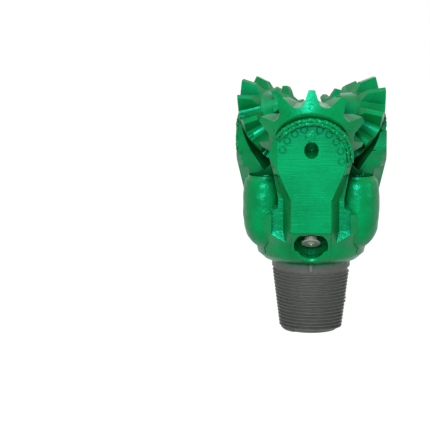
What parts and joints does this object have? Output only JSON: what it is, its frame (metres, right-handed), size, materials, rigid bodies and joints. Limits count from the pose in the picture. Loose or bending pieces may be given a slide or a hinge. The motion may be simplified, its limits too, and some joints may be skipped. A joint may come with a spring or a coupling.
{
  "type": "tricone drill bit",
  "caption": "Rotary drill bit with intermeshing milled-tooth cones on sealed roller bearings, jet nozzles, grease reservoirs and a tapered threaded pin.",
  "frame": {"origin": "on the bit axis in the plane of the make-up shoulder, where the pin begins", "axes": "+Z along the bit axis from the pin towards the cones, with one leg's flat face towards -Y"},
  "size_m": [0.2216, 0.2148, 0.3677],
  "materials": {
    "green_paint": "glossy green enamel on forged steel",
    "hardfacing": "rough carbide hardfacing under green enamel",
    "carbide": "ground tungsten carbide",
    "steel": "machined steel",
    "cap_steel": "phosphated steel",
    "bearing_steel": "polished bearing steel",
    "bronze": "machined bearing bronze",
    "rubber": "nitrile rubber"
  },
  "bodies": {
    "bit_body": {"leg_1": "green_paint", "leg_2": "green_paint", "leg_3": "green_paint", "ball_plug_1": "green_paint", "ball_plug_2": "green_paint", "ball_plug_3": "green_paint", "weld_seam_1": "green_paint", "weld_seam_2": "green_paint", "weld_seam_3": "green_paint", "nozzle_1": "carbide", "nozzle_2": "carbide", "nozzle_3": "carbide", "nozzle_seal_1": "rubber", "nozzle_seal_2": "rubber", "nozzle_seal_3": "rubber", "nozzle_retainer_1": "green_paint", "nozzle_retainer_2": "green_paint", "nozzle_retainer_3": "green_paint", "reservoir_canister_1": "steel", "reservoir_canister_2": "steel", "reservoir_canister_3": "steel", "reservoir_diaphragm_1": "rubber", "reservoir_diaphragm_2": "rubber", "reservoir_diaphragm_3": "rubber", "reservoir_cap_1": "cap_steel", "reservoir_cap_2": "cap_steel", "reservoir_cap_3": "cap_steel", "reservoir_snap_ring_1": "steel", "reservoir_snap_ring_2": "steel", "reservoir_snap_ring_3": "steel", "shirttail_inserts_1": "green_paint", "shirttail_inserts_2": "green_paint", "shirttail_inserts_3": "green_paint", "shirttail_hardfacing_1": "hardfacing", "shirttail_hardfacing_2": "hardfacing", "shirttail_hardfacing_3": "hardfacing"},
    "cone_set_1": {"cone_1": "green_paint", "gauge_inserts_1": "green_paint", "cone_seal_1": "rubber", "nose_bushing_1": "bronze", "thrust_washer_1": "bronze"},
    "roller_set_1": {"rollers_1": "bearing_steel"},
    "ball_set_1": {"balls_1": "bearing_steel"},
    "cone_set_2": {"cone_2": "green_paint", "gauge_inserts_2": "green_paint", "cone_seal_2": "rubber", "nose_bushing_2": "bronze", "thrust_washer_2": "bronze"},
    "roller_set_2": {"rollers_2": "bearing_steel"},
    "ball_set_2": {"balls_2": "bearing_steel"},
    "cone_set_3": {"cone_3": "green_paint", "gauge_inserts_3": "green_paint", "cone_seal_3": "rubber", "nose_bushing_3": "bronze", "thrust_washer_3": "bronze"},
    "roller_set_3": {"rollers_3": "bearing_steel"},
    "ball_set_3": {"balls_3": "bearing_steel"}
  },
  "joints": [
    {"name": "cone_spin_1", "type": "hinge", "parent": "bit_body", "child": "cone_set_1", "pos_m": [0, 0, 0.2355], "axis": [0, -0.8387, -0.5446], "continuous": true},
    {"name": "roller_orbit_1", "type": "hinge", "parent": "bit_body", "child": "roller_set_1", "pos_m": [0, 0, 0.2355], "axis": [0, -0.8387, -0.5446], "continuous": true},
    {"name": "ball_orbit_1", "type": "hinge", "parent": "bit_body", "child": "ball_set_1", "pos_m": [0, 0, 0.2355], "axis": [0, -0.8387, -0.5446], "continuous": true},
    {"name": "cone_spin_2", "type": "hinge", "parent": "bit_body", "child": "cone_set_2", "pos_m": [0, 0, 0.2355], "axis": [0.7263, 0.4193, -0.5446], "continuous": true},
    {"name": "roller_orbit_2", "type": "hinge", "parent": "bit_body", "child": "roller_set_2", "pos_m": [0, 0, 0.2355], "axis": [0.7263, 0.4193, -0.5446], "continuous": true},
    {"name": "ball_orbit_2", "type": "hinge", "parent": "bit_body", "child": "ball_set_2", "pos_m": [0, 0, 0.2355], "axis": [0.7263, 0.4193, -0.5446], "continuous": true},
    {"name": "cone_spin_3", "type": "hinge", "parent": "bit_body", "child": "cone_set_3", "pos_m": [0, 0, 0.2355], "axis": [-0.7263, 0.4193, -0.5446], "continuous": true},
    {"name": "roller_orbit_3", "type": "hinge", "parent": "bit_body", "child": "roller_set_3", "pos_m": [0, 0, 0.2355], "axis": [-0.7263, 0.4193, -0.5446], "continuous": true},
    {"name": "ball_orbit_3", "type": "hinge", "parent": "bit_body", "child": "ball_set_3", "pos_m": [0, 0, 0.2355], "axis": [-0.7263, 0.4193, -0.5446], "continuous": true}
  ],
  "couplings": [
    {"joint": "roller_orbit_1", "follows": "cone_spin_1", "ratio": 0.5856},
    {"joint": "ball_orbit_1", "follows": "cone_spin_1", "ratio": 0.6221},
    {"joint": "roller_orbit_2", "follows": "cone_spin_2", "ratio": 0.5856},
    {"joint": "ball_orbit_2", "follows": "cone_spin_2", "ratio": 0.6221},
    {"joint": "roller_orbit_3", "follows": "cone_spin_3", "ratio": 0.5856},
    {"joint": "ball_orbit_3", "follows": "cone_spin_3", "ratio": 0.6221}
  ]
}
